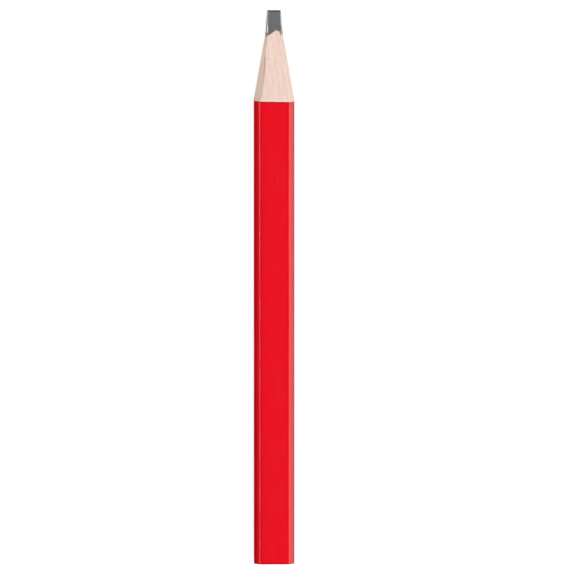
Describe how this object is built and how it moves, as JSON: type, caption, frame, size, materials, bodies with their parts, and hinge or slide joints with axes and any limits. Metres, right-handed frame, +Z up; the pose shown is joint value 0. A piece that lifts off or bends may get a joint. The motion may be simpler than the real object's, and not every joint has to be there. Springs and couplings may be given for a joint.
{
  "type": "carpenter pencil",
  "caption": "Flat eight-sided carpenter pencil: a wide lead glued between two wooden slats, painted red, and cut to a blunt chisel point.",
  "frame": {"origin": "middle of the pencil's outline, on the surface that its broad face lies on", "axes": "+Y along the pencil from the butt end towards the point, +X across the broad faces, +Z up through the thickness"},
  "size_m": [0.0126, 0.175, 0.0072],
  "materials": {
    "bare_wood": "matte",
    "lead": "satin",
    "dried_glue": "satin",
    "primer": "matte",
    "lacquer": "gloss"
  },
  "bodies": {
    "root": {"upper_slat": "bare_wood", "lower_slat": "bare_wood", "lead_core": "lead", "glue_film": "dried_glue", "primer_coat": "primer", "red_lacquer": "lacquer"}
  },
  "joints": []
}
